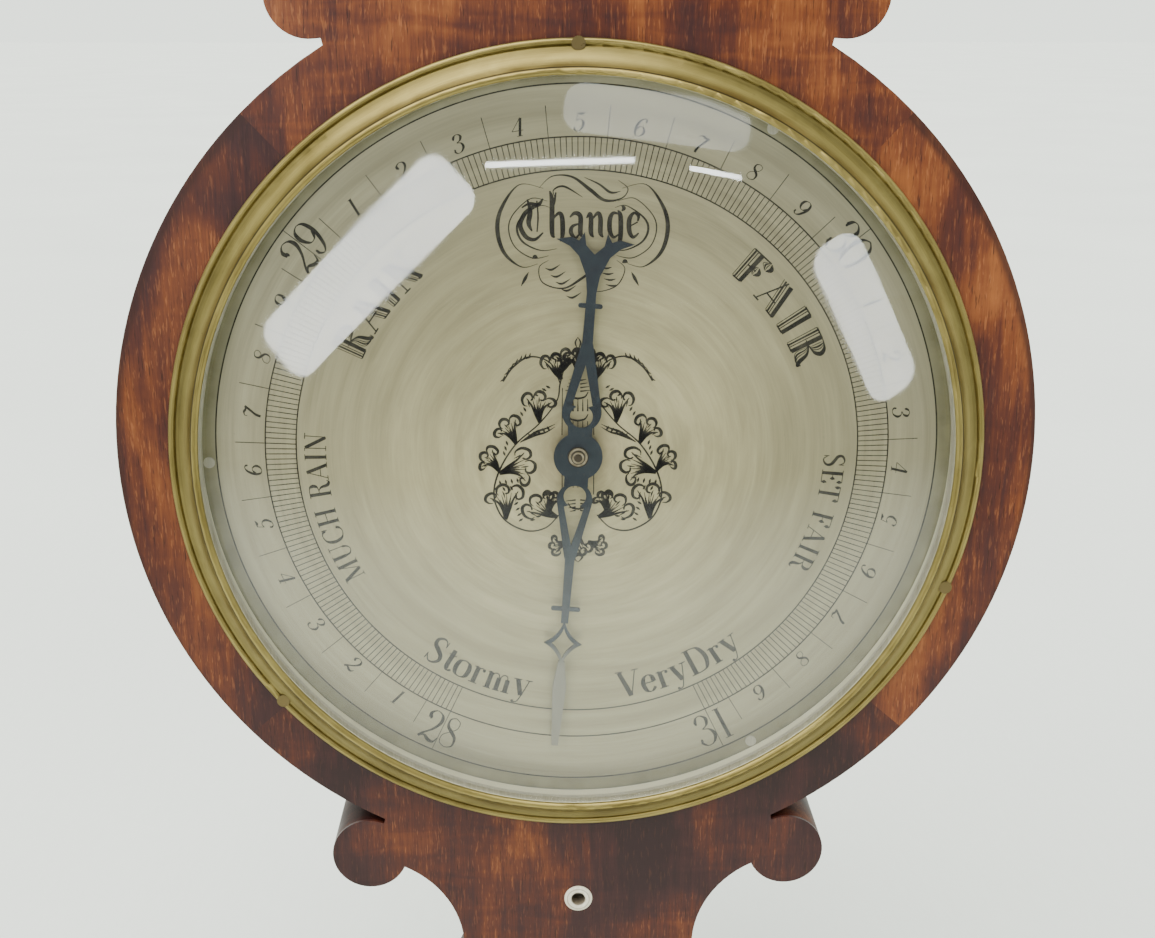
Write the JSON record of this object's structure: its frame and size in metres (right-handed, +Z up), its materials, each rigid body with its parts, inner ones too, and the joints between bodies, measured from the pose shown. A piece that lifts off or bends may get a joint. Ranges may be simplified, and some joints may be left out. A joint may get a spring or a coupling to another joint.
{
  "type": "wheel barometer",
  "caption": "Mahogany wheel barometer with a silvered dial, domed glass, blued hand, siphon tube and hinged back door.",
  "frame": {"origin": "centre of the hanging hole, on the wall plane", "axes": "+Z up along the case, -Y out of the dial, +Y into the wall"},
  "size_m": [0.319, 0.0664, 1.054],
  "materials": {
    "mahogany_veneer": "french polished, semi-gloss",
    "stained_pine": "stained satin",
    "bare_pine": "raw",
    "aged_brass": "aged satin",
    "silvered_brass": "silvered, brushed in circles",
    "blued_steel": "blued",
    "dial_glass": "clear",
    "clear_glass": "clear",
    "bone": "polished bone",
    "mercury": "liquid metal",
    "cork": "raw cork",
    "cord": "twisted",
    "steel": "bright"
  },
  "bodies": {
    "case": {"case_body": "stained_pine", "veneer_neck": "mahogany_veneer", "veneer_left": "mahogany_veneer", "veneer_right": "mahogany_veneer", "veneer_tail": "mahogany_veneer", "cornice": "mahogany_veneer", "swan_necks": "mahogany_veneer", "rosettes": "aged_brass", "finial": "aged_brass", "bezel_ring": "aged_brass", "dial_glass": "dial_glass", "glass_retaining_ring": "aged_brass", "bezel_screws": "aged_brass", "dial_plate": "silvered_brass", "dial_screws": "silvered_brass", "bone_key_bush": "bone", "dial_bush": "aged_brass", "set_cord": "cord", "key_bridge": "aged_brass", "key_bridge_screws": "steel", "cock_pillars": "aged_brass", "back_cock": "aged_brass", "cock_screws": "steel", "siphon_tube": "clear_glass", "mercury_column": "mercury", "tube_pads": "cork", "bend_block": "cork", "neck_cover": "bare_pine", "tail_cover": "bare_pine", "cover_screws": "steel", "hanging_plate": "aged_brass", "plate_screws": "steel", "hinge_leaves_case": "aged_brass", "hinge_pins": "steel", "turn_button_screw": "steel", "thermometer_box": "mahogany_veneer", "thermometer_scale": "silvered_brass", "thermometer_pane": "clear_glass", "thermometer_tube": "clear_glass", "thermometer_clips": "aged_brass", "level_plate": "silvered_brass", "level_vial": "clear_glass", "level_screws": "aged_brass"},
    "pointer": {"pointer_hand": "blued_steel", "pointer_collet": "aged_brass", "pointer_arbor": "steel", "float_pulley": "aged_brass"},
    "float": {"float_weight": "clear_glass", "float_thread": "cord", "mercury_top": "mercury"},
    "counterpoise": {"counterweight": "clear_glass", "counter_thread": "cord"},
    "key_drive": {"key_arbor": "steel", "key_pulley": "aged_brass"},
    "set_drive": {"set_pipe": "aged_brass", "set_pulley": "aged_brass"},
    "door": {"back_door": "bare_pine", "hinge_leaves_door": "aged_brass", "hinge_screws_door": "steel"},
    "button": {"turn_button": "aged_brass"}
  },
  "joints": [
    {"name": "pointer_turn", "type": "hinge", "parent": "case", "child": "pointer", "pos_m": [0, -0.044, -0.668], "axis": [0, 1, 0], "range_deg": [0, 330]},
    {"name": "float_slide", "type": "slide", "parent": "case", "child": "float", "axis": [0, 0, -1], "range_m": [0, 0.04089], "deforming": ["float_thread", "mercury_top"]},
    {"name": "counter_slide", "type": "slide", "parent": "case", "child": "counterpoise", "axis": [0, 0, 1], "range_m": [0, 0.04089], "deforming": ["counter_thread"]},
    {"name": "key_turn", "type": "hinge", "parent": "case", "child": "key_drive", "pos_m": [0, -0.041, -0.8425], "axis": [0, 1, 0], "continuous": true},
    {"name": "set_turn", "type": "hinge", "parent": "case", "child": "set_drive", "pos_m": [0, -0.038, -0.668], "axis": [0, 1, 0], "continuous": true},
    {"name": "door_swing", "type": "hinge", "parent": "case", "child": "door", "pos_m": [-0.1104, -0.0016, -0.668], "axis": [0, 0, 1], "range_deg": [0, 100]},
    {"name": "button_turn", "type": "hinge", "parent": "case", "child": "button", "pos_m": [0.129, -0.0012, -0.668], "axis": [0, 1, 0], "range_deg": [-90, 90]}
  ],
  "couplings": [
    {"joint": "float_slide", "follows": "pointer_turn", "m_per_rad": 0.007065},
    {"joint": "counter_slide", "follows": "pointer_turn", "m_per_rad": 0.007065},
    {"joint": "set_turn", "follows": "key_turn", "ratio": 1}
  ]
}
